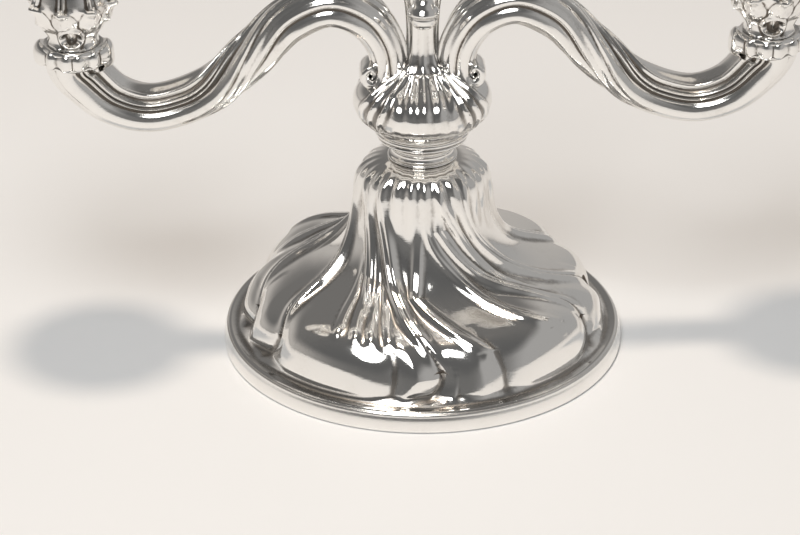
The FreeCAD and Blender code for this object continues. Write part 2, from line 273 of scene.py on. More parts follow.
BAND_TOP = 7.05
border_section = flow([
    (70.0, 0.0), (72.4, 0.0), (74.4, 0.0), (74.9, 0.5), (75.0, 1.6), (74.9, 3.2), (74.6, 4.8),
    (74.2, 6.0), (74.1, 6.5), (73.8, 7.0), (73.0, BAND_TOP), (71.5, BAND_TOP), (70.0, BAND_TOP),
    (70.0, 3.5), (70.0, 0.0)], 91)
border_section[:, 1] = np.maximum(border_section[:, 1], 0)
border = chased("silver_border", border_section, border_section[:0], 384, plain)
mark_recesses(border, 6, 0.25)
border_silver = silver("worn_silver", 0.2, 1.2, 0.9)
fit(border, border_silver, "base", "foot_border")


# ---- The raised foot ----------------------------------------------------------------------------
# One sheet of silver raised and chased into swirling flutes: thin double ribs that sweep down from the
# shoulder, scooped panels between them, and bulging lobes where they meet the flat edge.

foot_line = flow([
    (73.3, 7.05), (73.5, 7.5), (72.9, 7.9), (71.4, 7.7), (69.9, 7.6), (68.8, 8.0), (68.2, 9.2),
    (67.7, 11.4), (66.7, 14.5), (65.2, 18.0), (63.0, 21.6), (59.8, 25.0), (55.0, 28.4), (48.8, 31.6),
    (42.0, 35.0), (36.4, 38.9), (32.2, 43.3), (29.3, 48.0), (27.3, 53.0), (26.1, 58.0), (25.4, 63.0),
    (24.6, 67.0), (23.2, 70.4), (20.9, 72.9), (18.0, 74.5), (15.0, 75.25), (12.0, 75.4),
    (10.6, 75.35)], 190)
SHEET = 1.1                 # thickness of the raised silver
INSIDE_FROM = 26            # the inside follows foot_line from this point of it, 8 mm above the flat edge


def set_in(line, inset):
    """The same section line moved inwards, square to itself."""
    run = np.gradient(line, axis=0)
    run /= np.linalg.norm(run, axis=1)[:, None]
    return line + inset * np.stack([-run[:, 1], run[:, 0]], 1)


under_line = set_in(foot_line, SHEET)[INSIDE_FROM:-4:4][::-1]
under_line = np.concatenate([under_line, [(62.0, 7.1), (73.2, 7.02)]])

# Lines of the chasing: (height, direction) from the bottom up, 0 facing the viewer, + to the right.
SWIRLS = {
    "rib_left": [(9, -61), (14, -58), (22, -57), (30, -61), (38, -66), (46, -72), (56, -80), (66, -86)],
    "rib_main": [(8, 1.5), (12, 4.5), (17, 6.5), (22, 5), (28, 0), (33, -8), (39.5, -18), (50, -28),
                 (62, -37), (72, -41)],
    "rib_right": [(8, 68), (12, 71), (20, 72), (27, 67), (31, 60), (37, 46), (45, 31), (56, 15)],
    "rib_far": [(8, 98), (14, 101), (21, 97), (27, 88), (33, 76), (42, 60), (50, 48), (62, 38), (72, 36)],
    "rib_fan": [(33, -27), (39.5, -35), (50, -46), (62, -56), (72, -62)],
    "rib_between": [(30, 68), (33, 61), (37, 53), (42, 46), (48, 38), (56, 29), (62, 22), (70, 14)],
    "line_near": [(24, 52), (28, 44), (39.5, 27), (50, 11), (58, 3)],
    "line_triangle": [(23.5, 23), (27, 17.5), (31, 10), (37, -4)],
    "split_a": [(8, -10), (17, -9), (24, -10), (30, -15)],
    "split_b": [(8, 11), (17, 11.5), (22, 10.5), (30, 4)],
    "split_c": [(8, 27), (18, 27), (25, 25), (33, 19)],
    "split_left": [(8, -80), (18, -79), (26, -82), (36, -89)],
    "rill_1": [(28, -32), (34, -37), (44, -45), (56, -54)],
    "rill_2": [(26.5, -24.5), (34, -30.5), (44, -39.5), (56, -48.5)],
    "rill_3": [(25.5, -17.5), (34, -24), (44, -33), (56, -42)],
    "rill_4": [(24.5, -10.5), (31, -15), (40, -24), (50, -33.5)],
}
# How high a rib stands and how deep a groove cuts, in millimetres, by height above the table.
BIG_RIB = [(8, 0.2), (16, 0.6), (24, 1.4), (32, 2.8), (45, 3.2), (58, 2.7), (68, 1.5), (74, 0.0)]
UPPER_RIB = [(30, 0.0), (36, 1.6), (45, 2.2), (58, 2.0), (68, 1.1), (73, 0.0)]
LATE_RIB = [(8, 0.2), (16, 0.6), (24, 1.4), (32, 2.6), (45, 2.4), (54, 1.5), (62, 0.0)]
FINE_LINE = [(20, 0.0), (25, 1.2), (32, 1.9), (45, 1.6), (55, 0.7), (62, 0.0)]
RILL = [(24.4, 0.0), (26.4, 0.9), (30, 1.1), (40, 0.9), (50, 0.4), (57, 0.0)]
BIG_GROOVE = [(8, 3.6), (14, 4.6), (20, 4.3), (25, 2.6), (30, 0.8), (36, 0.0)]
SMALL_GROOVE = [(8, 1.4), (14, 1.9), (20, 1.8), (26, 0.9), (31, 0.0)]
NONE = [(0, 0.0), (90, 0.0)]
CHASING = {
    "rib_left": (BIG_RIB, BIG_GROOVE, 2.6), "rib_main": (BIG_RIB, BIG_GROOVE, 2.6),
    "rib_right": (LATE_RIB, BIG_GROOVE, 2.4), "rib_far": (BIG_RIB, BIG_GROOVE, 2.6),
    "rib_fan": (UPPER_RIB, NONE, 2.2), "rib_between": (UPPER_RIB, NONE, 2.2),
    "line_near": (FINE_LINE, NONE, 2.3), "line_triangle": (FINE_LINE, NONE, 2.0),
    "split_a": (NONE, SMALL_GROOVE, 1.0), "split_b": (NONE, SMALL_GROOVE, 1.0),
    "split_c": (NONE, SMALL_GROOVE, 1.0), "split_left": (NONE, SMALL_GROOVE, 1.0),
    **{f"rill_{k}": (RILL, NONE, 1.5) for k in range(1, 5)},
}
SCOOP = [(8, 0.0), (22, 0.0), (26, 0.6), (31, 2.2), (36, 3.0), (46, 2.6), (56, 1.9), (66, 1.1),
         (73, 0.3), (75.4, 0.0)]
FACETS = [(50, 0.0), (60, 0.25), (66, 0.42), (71, 0.42), (74, 0.12), (75.3, 0.0)]
LOBES = [(-35, 20), (47, 17)]           # direction and half width of the fullest lobes
LOBE_SWELL = [(9, 0.0), (14, 0.9), (21, 2.4), (28, 2.6), (34, 1.2), (40, 0.0)]
LOBE_REACH = 13.0           # how far the round of a lobe runs in from its groove
BEAD_GROOVE = 0.9           # half width of the fine groove that splits a rib in two
BEAD_DEPTH = 0.35           # depth of that groove, as a share of the rib's height
FACET_COUNT, FACET_START = 27, 11       # small flutes round the shoulder: how many, and their first direction
CHASED_FROM, CHASED_WITHIN = 8.1, 2.0   # height where the chasing starts, and that in which it comes up full


def true_distance(away, line, height, radius, climb):
    """Distance on the surface from a chased line, in millimetres, from the degrees away from it."""
    slope = (eased(line, height + 0.1) - eased(line, height - 0.1)) / 0.2
    slant = np.radians(slope) * radius * climb
    return np.abs(np.radians(away)) * radius / np.sqrt(1 + slant ** 2)


def foot_relief(angle, height, radius, climb):
    raised = np.zeros_like(angle)
    sunk = np.zeros_like(angle)
    for name, (rib, groove, spread) in CHASING.items():
        apart = 360 if "rill" in name else 180
        away = (angle - eased(SWIRLS[name], height) + apart / 2) % apart - apart / 2
        distance = true_distance(away, SWIRLS[name], height, radius, climb)
        crest = np.exp(-(distance / spread) ** 2)
        split = 1 - BEAD_DEPTH * np.exp(-(distance / BEAD_GROOVE) ** 2)
        raised = np.maximum(raised, eased(rib, height) * crest * split)
        round_off = (1 - np.minimum(distance, LOBE_REACH) / LOBE_REACH) ** 2
        sunk = np.maximum(sunk, eased(groove, height) * round_off)
    swell = np.zeros_like(angle)
    for direction, wide in LOBES:
        swell = swell + np.exp(-(((angle - direction + 90) % 180 - 90) / wide) ** 2)
    raised = raised + swell * eased(LOBE_SWELL, height)
    facets = eased(FACETS, height) * np.cos(np.radians(FACET_COUNT * (angle + FACET_START)))
    fade = np.clip((height - CHASED_FROM) / CHASED_WITHIN, 0, 1)
    return (raised - sunk - eased(SCOOP, height) + facets) * fade


# The grid of the sheet turns with the flutes, by these degrees at each height, to keep their edges clean.
FOOT_SHEAR = [(height, 50 * min(1.0, (66 - height) / 46) ** 1.3) for height in range(6, 67, 4)]
FOOT_FACING = -92.5         # where direction 0 of the chasing points, from the x axis
foot = chased("raised_foot", foot_line, under_line, 430, foot_relief, swirl=FOOT_SHEAR,
              facing=FOOT_FACING, sheet=True)
mark_recesses(foot, 8, 0.30)
foot_silver = silver("chased_silver", 0.07, 0.8, 0.35)
fit(foot, foot_silver, "base", "base_shell")


# ---- Inside the foot ----------------------------------------------------------------------------
# Pitch and plaster fill the thin silver so that it can't be dented and stands heavily. A sawn board closes
# it, held by a bolt, a washer and a nut in a pocket, and felt is glued under the board.

def carried_over(material, *nodes):
    for node in nodes:
        assign(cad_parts[node], material)


def grained(name, dark, light, roughness, scale, stretch=(1.0, 1.0, 1.0), metallic=0.0, bump=0.2):
    """Two colours mingled by a grain that may be stretched along one axis, with the same grain in relief."""
    material, place, shader = finish(name, metallic, light, roughness)
    link = material.node_tree.links.new
    laid = place.node("ShaderNodeMapping", Vector=place, Scale=stretch)
    grain = place.node("ShaderNodeTexNoise", Vector=laid, Scale=scale, Detail=6.0, Roughness=0.6)
    fine = place.node("ShaderNodeTexNoise", Vector=laid, Scale=scale * 6, Detail=2.0)
    link(grain.between(0.35, 0.65).mix(dark, light).socket, shader.inputs["Base Color"])
    link((roughness + (fine - 0.5) * 0.2).socket, shader.inputs["Roughness"])
    relief = place.node("ShaderNodeBump", Strength=bump, Distance=0.0004, Height=grain + fine * 0.5)
    link(relief.socket, shader.inputs["Normal"])
    return material


pitch = grained("pitch_and_plaster", colour(0.030, 0.024, 0.020), colour(0.085, 0.070, 0.058), 0.7, 60.0)
board = grained("sawn_board", colour(0.13, 0.065, 0.030), colour(0.24, 0.135, 0.068), 0.65, 40.0,
                stretch=(0.15, 2.0, 2.0))
felt = grained("green_felt", colour(0.012, 0.040, 0.020), colour(0.030, 0.080, 0.042), 0.95, 900.0, bump=0.6)
brass = grained("turned_brass", colour(0.55, 0.40, 0.17), colour(0.74, 0.58, 0.30), 0.32, 30.0,
                stretch=(0.3, 0.3, 14.0), metallic=1.0, bump=0.05)
steel = grained("turned_steel", colour(0.34, 0.34, 0.35), colour(0.55, 0.55, 0.56), 0.38, 40.0,
                stretch=(0.3, 0.3, 14.0), metallic=1.0, bump=0.05)
FILLING_INSET = 2.3         # from the outside of the foot to the pitch
filling_line = set_in(foot_line, FILLING_INSET)[INSIDE_FROM::3]
filling_line = np.concatenate([[(1.0, 7.15), (40.0, 7.15)], filling_line[filling_line[:, 0] > 10.0]])
filling = chased("pitch_filling", filling_line, np.array([(9.4, 72.0), (9.4, 55.0), (1.0, 55.0)]), 256,
                 foot_relief, swirl=FOOT_SHEAR, facing=FOOT_FACING)
fit(filling, pitch, "base", "foot_filling")
carried_over(board, "base_board")
carried_over(felt, "base_felt")
carried_over(steel, "base_bolt", "base_washer", "base_nut")


# ---- The ringed neck ----------------------------------------------------------------------------
# A cast and turned ring with fine beads, soldered on the shoulder of the foot round the brass socket that
# the branch section plugs into.

neck = chased("ringed_neck", flow([
    (9.35, 75.5), (12.3, 75.5), (12.9, 76.0), (12.6, 76.5), (11.8, 76.8), (11.3, 77.3), (11.0, 78.2),
    (11.1, 79.0), (11.7, 79.3), (12.1, 79.8), (11.8, 80.3), (11.4, 80.6), (11.5, 81.1), (12.2, 81.4),
    (12.9, 81.9), (13.4, 82.4), (13.55, 82.9), (9.35, 82.9), (9.35, 79.0), (9.35, 75.5)], 121),
    np.zeros((0, 2)), 192, plain)
mark_recesses(neck, 5, 0.15)
fit(neck, foot_silver, "base", "neck_moulding")
carried_over(brass, "socket_tube", "branch_plug")


# ---- The collar ring ----------------------------------------------------------------------------
# The turned ring on which the branch section sits down on the foot, with two fine lines cut round it.
# It is soldered under the knop.

collar = chased("collar_band", flow([
    (8.1, 83.1), (14.6, 83.1), (15.5, 83.15), (16.6, 83.6), (16.75, 84.2), (16.4, 84.6), (16.5, 84.9),
    (17.3, 85.3), (17.6, 86.1), (17.2, 86.8), (16.75, 87.05), (16.9, 87.3), (16.7, 87.8), (15.8, 88.0),
    (12.0, 88.0), (8.1, 88.0), (8.1, 85.5), (8.1, 83.1)], 111), np.zeros((0, 2)), 224, plain)
mark_recesses(collar, 5, 0.15)
fit(collar, foot_silver, "branch", "collar_ring")


# ---- The knop -----------------------------------------------------------------------------------
# A squat cast knop. Pear-shaped panels with soft flutes face front and back, ribs from the roots of the
# arms sweep down round them, and a plump lobe stands out at each side.

KNOP_RIBS = [
    [(89, 46), (94, 44), (99, 40.5), (104, 36.5), (109, 37), (113, 36)],
    [(89, 56), (94, 55), (99, 52), (104, 48), (109, 47), (113, 46)],
    [(89, 66), (94, 68), (99, 66), (104, 60), (109, 57), (113, 56)],
]
KNOP_RIB_HEIGHT = [(88, 0.0), (90, 0.5), (94, 1.1), (100, 1.6), (108, 1.6), (113, 1.0)]
KNOP_FLUTES = [(88, 0.0), (94, 0.1), (99, 0.22), (104, 0.28), (109, 0.26), (112, 0.1)]
KNOP_RIB_WIDTH = 1.3        # half width
PANEL_SWELL, LOBE_STAND = 1.1, 1.1      # how far the middles of the panels and of the side lobes stand out
KNOP_GROUND = 1.3           # how far the ground between them lies inside the outline


def to_front(angle):
    """Degrees from the front or the back, whichever is nearer: 0 there and 90 at the sides."""
    return np.abs((angle + 90) % 180 - 90)


def knop_relief(angle, height, radius, climb):
    aside = to_front(angle)
    raised = np.zeros_like(angle)
    for rib in KNOP_RIBS:
        distance = true_distance(aside - eased(rib, height), rib, height, radius, climb)
        raised = np.maximum(raised, np.exp(-(distance / KNOP_RIB_WIDTH) ** 2))
    panel_edge = eased(KNOP_RIBS[0], height)
    last_rib = eased(KNOP_RIBS[2], height)
    share = np.clip(aside / panel_edge, 0, 1)
    flute_count = eased([(99, 3.1), (107, 2.4), (113, 2.0)], height)
    flutes = eased(KNOP_FLUTES, height) * np.cos(2 * pi * share * flute_count)
    swell = PANEL_SWELL * (1 - share ** 2)
    across_lobe = np.clip((aside - last_rib) / (90 - last_rib), 0, 1)
    lobe = LOBE_STAND * np.sin(across_lobe * pi / 2)
    fade = np.clip((height - 88) / 3, 0, 1)
    step = 0.5 * np.clip((height - 112.0 - 0.4 * np.cos(2 * pi * share / 0.66)) / 0.4, 0, 1)
    inside = aside < panel_edge
    return (raised * eased(KNOP_RIB_HEIGHT, height) + np.where(inside, flutes + swell - step, 0)
            + np.where(aside > last_rib, lobe, 0) - KNOP_GROUND) * fade


knop = chased("lobed_knop", flow([
    (16.3, 88.0), (18.6, 88.2), (20.6, 89.4), (22.9, 91.4), (24.6, 93.8), (25.6, 96.6), (25.7, 99.2),
    (25.0, 101.8), (23.6, 104.0), (20.8, 106.3), (17.4, 108.3), (14.2, 110.0), (11.8, 111.6),
    (10.2, 112.95)], 111), np.array([(2.6, 112.9), (2.6, 100.0), (2.6, 88.0), (16.3, 88.0)]), 256,
    knop_relief)
mark_recesses(knop, 8, 0.3)
fit(knop, foot_silver, "branch", "knop")


# ---- The column and its drops -------------------------------------------------------------------
# A short tapered column between the arms, with flat facets. A drop with a curled lip hangs on its front
# and its back, above the meeting of the arms, and hides the solder.

COLUMN_FACETS = 10


def facet_relief(angle, height, radius, climb):
    return 0.30 * np.cos(np.radians(COLUMN_FACETS * angle))


column = chased("faceted_column", flow([
    (10.0, 112.0), (8.9, 112.9), (7.7, 114.2), (6.6, 116.8), (6.0, 120.0), (5.8, 125.0), (6.0, 130.0),
    (6.6, 137.0), (8.0, 143.5), (10.3, 150.0)], 61),
    np.array([(2.6, 149.0), (2.6, 130.0), (2.6, 113.0), (10.0, 112.0)]), 180, facet_relief)
mark_recesses(column, 6, 0.2)
fit(column, foot_silver, "branch", "column")

DROP_OUT = 9.4              # from the middle of the column to the middle of a drop
for name, node, side in (("front_drop", "front_boss", -1), ("rear_drop", "rear_boss", 1)):
    drop = chased(name, flow([
        (0.0, 129.9), (1.7, 130.1), (3.3, 131.0), (4.5, 132.6), (5.0, 134.3), (4.8, 135.5), (5.4, 136.1),
        (5.7, 136.9), (5.1, 137.9), (4.3, 139.0), (3.4, 140.8), (1.6, 142.4), (0.0, 142.8)], 61),
        np.zeros((0, 2)), 96, plain, y=side * DROP_OUT)
    mark_recesses(drop, 5, 0.2)
    fit(drop, foot_silver, "branch", node)


# ---- The arms -----------------------------------------------------------------------------------
# Cast in two halves and soldered along the seam. An arm climbs out of the knop, turns over its crest and
# sweeps down and up again. Broad bands that lean back above thin ridges turn from its top to its underside.

ARM_LINE = [                # distance from the column, height, half thickness
    (13.5, 103.5, 8.4), (12.0, 110.0, 7.4), (13.6, 121.0, 7.5), (20.5, 131.5, 8.5), (33.5, 136.8, 9.0),
    (48.0, 130.8, 8.8), (62.0, 117.2, 8.6), (77.0, 104.0, 8.8), (98.5, 96.8, 9.1), (112.6, 100.6, 9.7),
    (122.0, 109.3, 10.4), (125.6, 113.8, 10.8), (126.2, 116.6, 10.9),
]
BANDS = [                   # the section where the arm dips: degrees from its top, share of its radius
    (0, 0.97), (31, 0.96), (40, 1.02), (46, 0.88), (56, 0.89), (63, 0.99), (69, 0.86), (74, 0.93),
    (80, 0.78), (96, 0.92), (113, 1.05), (120, 1.07), (128, 0.97), (140, 0.98), (152, 0.95), (168, 1.0),
    (175, 0.94), (182, 0.78), (198, 0.92), (213, 1.05), (219, 1.06), (226, 0.97), (240, 1.0), (254, 0.96),
    (262, 1.0), (268, 0.91), (285, 0.98), (300, 0.92), (307, 1.0), (314, 0.92), (337, 0.97), (360, 0.97),
]
BAND_TURN = 95.0            # degrees that the bands turn between the crest and the dip
TURN_START, TURN_END = 45.0, 85.0       # distances from the column between which the bands turn
LEVEL_FROM = 0.93           # share of an arm's length after which its section levels off for the collar
ARM_ROWS = 320
arm_line = flow(ARM_LINE, ARM_ROWS + 1)


def soft_step(share):
    share = np.clip(share, 0, 1)
    return share * share * (3 - 2 * share)


def arm_place(u, v):
    row = np.rint(v * ARM_ROWS).astype(int)
    run = np.gradient(arm_line[:, :2], axis=0)
    heading = np.unwrap(np.arctan2(run[:, 1], run[:, 0]))
    level_off = soft_step((np.linspace(0, 1, ARM_ROWS + 1) - LEVEL_FROM) / (1 - LEVEL_FROM))
    heading = (heading * (1 - level_off) + pi / 2 * level_off)[row]
    middle_x, middle_z, radius = arm_line[row].T
    turned_by = soft_step((middle_x - TURN_START) / (TURN_END - TURN_START))
    angle = 360 * u
    rho = radius * eased(BANDS, (angle + BAND_TURN * (1 - turned_by)) % 360)
    upward = rho * np.cos(np.radians(angle))
    forward = rho * np.sin(np.radians(angle))
    return middle_x - np.sin(heading) * upward, -forward, middle_z + np.cos(heading) * upward


def copy_of(piece, name, x=0.0, z=0.0, mirrored=False):
    """A copy with its own mesh, moved by millimetres or turned into its mirror image."""
    copy = piece.copy()
    copy.data = piece.data.copy()
    copy.name = copy.data.name = name
    bpy.context.scene.collection.objects.link(copy)
    if mirrored:
        copy.data.transform(Matrix.Scale(-1, 4, (1, 0, 0)))
        edit(copy)
        bpy.ops.mesh.normals_make_consistent(inside=False)
        bpy.ops.object.mode_set(mode="OBJECT")
    else:
        copy.data.transform(Matrix.Translation((x * MM, 0, z * MM)))
    return copy


right_arm = skin("right_branch_arm", 200, ARM_ROWS, arm_place)
mark_recesses(right_arm, 7, 0.22)
left_arm = copy_of(right_arm, "left_branch_arm", mirrored=True)
cast_silver = silver("cast_silver", 0.11, 1.5, 0.5)
fit(right_arm, cast_silver, "branch", "right_arm")
fit(left_arm, cast_silver, "branch", "left_arm")


# ---- The scrolls at the roots of the arms -------------------------------------------------------
# A strip that leaves the underside of each arm and curls up on the shoulder of the knop, cast separately
# and soldered on.

SCROLL_LINE = [             # distance from the column, height, half thickness, half width
    (16.2, 120.5, 2.0, 5.0), (15.0, 115.5, 2.4, 5.8), (14.8, 111.0, 2.4, 6.4), (16.0, 107.7, 2.4, 6.8),
    (18.6, 106.3, 2.3, 6.8), (20.9, 108.0, 2.1, 6.6), (21.0, 110.8, 1.9, 6.4), (19.2, 112.3, 1.6, 6.2),
    (17.9, 110.9, 1.3, 6.0),
]
SCROLL_ROWS = 150
scroll_line = flow(SCROLL_LINE, SCROLL_ROWS + 1)


def scroll_place(u, v):
    row = np.rint(v * SCROLL_ROWS).astype(int)
    run = np.gradient(scroll_line[:, :2], axis=0)
    heading = np.unwrap(np.arctan2(run[:, 1], run[:, 0]))[row]
    middle_x, middle_z, thick, wide = scroll_line[row].T
    turn = 2 * pi * u
    out = np.sign(np.cos(turn)) * np.abs(np.cos(turn)) ** 0.8
    across = np.sign(np.sin(turn)) * np.abs(np.sin(turn)) ** 0.55
    rim = 1 + 0.16 * np.exp(-((np.abs(np.sin(turn)) - 0.86) / 0.10) ** 2)
    outward = thick * out * rim
    return (middle_x - np.sin(heading) * outward, wide * across,
            middle_z + np.cos(heading) * outward)


right_scroll = skin("right_scroll", 64, SCROLL_ROWS, scroll_place)
mark_recesses(right_scroll, 5, 0.25)
left_scroll = copy_of(right_scroll, "left_scroll", mirrored=True)
for scroll in (right_scroll, left_scroll):
    assign(scroll, cast_silver)
    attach(scroll, "branch")


# ---- The knuckled collars -----------------------------------------------------------------------
# Cast collars that hide the joints between the arms and the necks of the drip pans, with a big rounded
# knuckle at each side and a row of small ones in front and behind.

ARM_REACH = 126.2           # from the column to the middle of a side light
KNUCKLES = [(90, 24.0, 3.0), (44, 9.0, 1.5), (12, 11.0, 1.1)]       # direction, width, height
COLLAR_GROUND = 2.0         # how far the ground between the knuckles lies inside the outline


def knuckle_relief(angle, height, radius, climb):
    aside = to_front(angle)
    raised = np.zeros_like(angle)
    for direction, width, tall in KNUCKLES:
        raised = np.maximum(raised, tall * np.exp(-np.abs((aside - direction) / width) ** 2.4))
    outside = np.clip((radius - 10.8) / 1.2, 0, 1)
    inner = np.abs(angle % 360 - 270) / KNUCKLES[0][1]
    hang = 0.9 * np.exp(-inner ** 2.4) * np.clip((118.5 - height) / 2.5, 0, 1)
    return (raised - COLLAR_GROUND + hang) * outside


right_collar = chased("right_knuckled_collar", flow([
    (10.9, 115.7), (12.1, 115.5), (13.1, 116.6), (13.6, 118.4), (13.6, 120.4), (13.1, 122.1), (12.2, 123.1),
    (11.2, 123.3), (9.7, 123.1)], 61),
    flow([(9.7, 123.1), (6.0, 123.1), (2.6, 123.1), (2.6, 120.0), (2.6, 116.7), (6.0, 116.7), (10.6, 116.65),
          (10.9, 115.7)], 24), 224, knuckle_relief, x=ARM_REACH)
mark_recesses(right_collar, 10, 0.3)
left_collar = copy_of(right_collar, "left_knuckled_collar", mirrored=True)
fit(right_collar, cast_silver, "branch", "right_tip_collar")
fit(left_collar, cast_silver, "branch", "left_tip_collar")


# ---- The necks under the drip pans --------------------------------------------------------------
# Cast in halves: a waist with an oval scroll in front and behind, and above it a calyx of curling leaves
# that carries the drip pan. The middle light has the same casting on its baluster.

LEAVES = 8
OVAL_MIDDLE, OVAL_WIDE, OVAL_TALL = 128.8, 4.0, 4.3     # height of its middle, half width, half height


def ridge(distance, width):
    return np.exp(-(distance / width) ** 2)


def neck_relief(angle, height, radius, climb):
    aside = to_front(angle)
    over = np.radians(aside) * radius
    ring = np.hypot(over / OVAL_WIDE, (height - OVAL_MIDDLE) / OVAL_TALL)
    bud = 0.9 * ridge(over, 0.8) * ridge(height - OVAL_MIDDLE, 2.8)
    oval = 1.4 * ridge(ring - 1, 0.2) - 1.0 * np.clip((0.8 - ring) / 0.25, 0, 1) + bud
    side_curl = 1.3 * ridge(aside - 66, 13) * np.clip((134 - height) / 3, 0, 1)
    rising = np.clip((height - 129.5) / 4, 0, 1) * np.clip((ring - 1.1) / 0.3, 0, 1)
    period = 360 / LEAVES
    lean = 14 * np.clip((height - 128) / 14, 0, 1)
    within = np.abs((angle - lean + period / 2) % period - period / 2) / (period / 2)
    between = np.abs((angle + lean + period) % period - period / 2) / (period / 2)
    span = np.sqrt(np.clip(1 - ((height - 132) / 9) ** 2, 0.02, 1))
    leaf = 1.5 * np.clip(1 - (within / span) ** 2, 0, 1) + 0.5 * ridge(within, 0.12)
    low_leaf = 1.1 * np.clip(1 - (between / (0.8 * span)) ** 2, 0, 1) * (1 + 0.4 * ridge(between, 0.1))
    curl = 1.8 * ridge(height - 140.0, 1.3) * ridge(within, 0.5)
    curl = curl + 1.3 * ridge(height - 134.5, 1.2) * ridge(between, 0.45)
    top = np.clip((152.8 - height) / 5, 0, 1)
    calyx = (np.maximum(leaf, low_leaf) + curl - 0.9) * rising * top
    fade = np.clip((height - 123.3) / 0.6, 0, 1)
    ribs = 0.45 * np.cos(np.radians(LEAVES * angle)) * np.clip((129.5 - height) / 3, 0, 1)
    shown = np.clip((ring - 1.15) / 0.3, 0, 1)
    return (oval * (aside < 45) + side_curl + calyx + ribs * shown) * fade


right_neck = chased("right_leafy_neck", flow([
    (9.5, 123.2), (8.8, 124.3), (8.4, 126.5), (9.3, 129.5), (11.8, 132.9), (14.0, 136.5), (14.7, 140.0),
    (13.9, 144.5), (11.6, 149.0), (10.2, 152.2), (9.9, 153.9)], 121),
    flow([(9.9, 153.9), (6.0, 153.9), (2.6, 153.9), (2.6, 140.0), (2.6, 123.2), (6.0, 123.2),
          (9.5, 123.2)], 24), 224, neck_relief, x=ARM_REACH)
mark_recesses(right_neck, 10, 0.3)
left_neck = copy_of(right_neck, "left_leafy_neck", mirrored=True)
neck_rise = (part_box("centre_pan_neck")[1].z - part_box("right_pan_neck")[1].z) / MM
centre_neck = copy_of(right_neck, "centre_leafy_neck", x=-ARM_REACH, z=neck_rise)
for side, piece in (("right", right_neck), ("left", left_neck), ("centre", centre_neck)):
    fit(piece, cast_silver, "branch", side + "_pan_neck")


# ---- The baluster of the middle light -----------------------------------------------------------
# A lobed bulb that grows out of the meeting of the arms and draws in to a slim stem under the leaves.
# It is cast in halves, and the tie rod runs up inside it.

def bulb_relief(angle, height, radius, climb):
    lobes = np.abs(np.cos(np.radians(4 * (angle + 2.2 * (height - 150)))))
    fade = np.clip((height - 150) / 2, 0, 1) * np.clip((174 - height) / 4, 0, 1)
    return 1.7 * (lobes - 0.6) * fade


baluster = chased("lobed_baluster", flow([
    (10.2, 150.1), (11.6, 150.9), (14.0, 153.8), (15.0, 158.0), (13.6, 163.0), (10.4, 168.0), (8.0, 172.2),
    (7.2, 173.6), (8.4, 174.5), (8.6, 175.2), (7.6, 176.0), (8.6, 176.9)], 111),
    flow([(8.6, 176.9), (5.0, 176.9), (2.6, 176.9), (2.6, 163.0), (2.6, 150.1), (6.0, 150.1),
          (10.2, 150.1)], 20), 224, bulb_relief)
mark_recesses(baluster, 6, 0.35)
fit(baluster, cast_silver, "branch", "upper_stem")


# ---- The drip pans ------------------------------------------------------------------------------
# Shallow dishes stamped from sheet silver, with soft flutes that run out to a wavy rolled edge. Each is
# held between its neck and its candle cup.

PAN_WAVES = 12
PAN_ROWS = 100


def pan_place(u, v):
    section = flow([
        (2.6, 0.05), (12.0, 0.05), (20.0, 0.5), (27.0, 2.0), (31.0, 4.0), (32.6, 4.6), (32.9, 5.3),
        (32.4, 5.9), (31.6, 5.7), (30.4, 4.9), (26.0, 2.9), (19.0, 1.6), (12.0, 1.05), (2.6, 0.98)],
        PAN_ROWS + 1)
    row = np.rint(v * PAN_ROWS).astype(int)
    radius, height = section[row].T
    turn = 2 * pi * u
    wave = 1 - np.cos(PAN_WAVES * turn)
    outer = np.clip((radius - 14) / 18, 0, 1)
    reach = radius * (1 - 0.020 * wave * outer ** 2)
    lift = 0.35 * (wave - 1) * outer
    return reach * np.cos(turn), reach * np.sin(turn), height + np.maximum(lift, 0.05 - height)


def middle_of(node):
    """Sideways place of a node's middle and the height of its underside, in millimetres."""
    low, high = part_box(node)
    return (low.x + high.x) / 2 / MM, low.z / MM


def three_of(piece, material, kind, node_kind, body_of_side):
    """Sets copies of a piece made at the origin on the three lights, and removes the first."""
    for side in ("left", "centre", "right"):
        x, z = middle_of(side + node_kind)
        one = copy_of(piece, side + kind, x=x, z=z)
        fit(one, material, body_of_side(side), side + node_kind)
    bpy.data.objects.remove(piece)


pan = skin("pan", 288, PAN_ROWS, pan_place)
mark_recesses(pan, 5, 0.2)
three_of(pan, foot_silver, "_pan", "_drip_pan", lambda side: "branch")


# ---- The candle cups ----------------------------------------------------------------------------
# Urn-shaped cups, cast and chased with lobes that lean over as the flutes of the foot do. A nut in the
# floor of each draws it down on its pan.

CUP_LOBES = 8


def cup_relief(angle, height, radius, climb):
    lobes = np.abs(np.cos(np.radians(CUP_LOBES / 2 * (angle + 1.6 * height))))
    fade = np.clip((height - 2.6) / 3, 0, 1) * np.clip((27.4 - height) / 5, 0, 1)
    return 1.5 * (lobes - 0.75) * fade


cup = chased("cup", flow([
    (2.6, 0.0), (8.6, 0.0), (9.2, 0.6), (8.4, 1.5), (7.7, 2.5), (8.8, 4.2), (11.8, 6.6), (15.0, 11.0),
    (16.4, 17.0), (15.9, 22.5), (14.8, 26.6), (14.6, 28.2), (15.3, 28.8), (15.5, 29.5), (15.1, 30.2),
    (15.7, 31.0), (16.5, 31.95)], 131),
    flow([(16.5, 31.95), (13.1, 31.95), (13.05, 20.0), (13.05, 8.7), (8.0, 8.6), (2.6, 8.6), (2.6, 4.0),
          (2.6, 0.0)], 30), 240, cup_relief)
mark_recesses(cup, 6, 0.35)
three_of(cup, cast_silver, "_cup", "_candle_cup", lambda side: "branch")


# ---- The nozzles --------------------------------------------------------------------------------
# Loose turned liners with a dished flange, which rests on the rim of the cup. They lift out to be
# cleaned of wax.

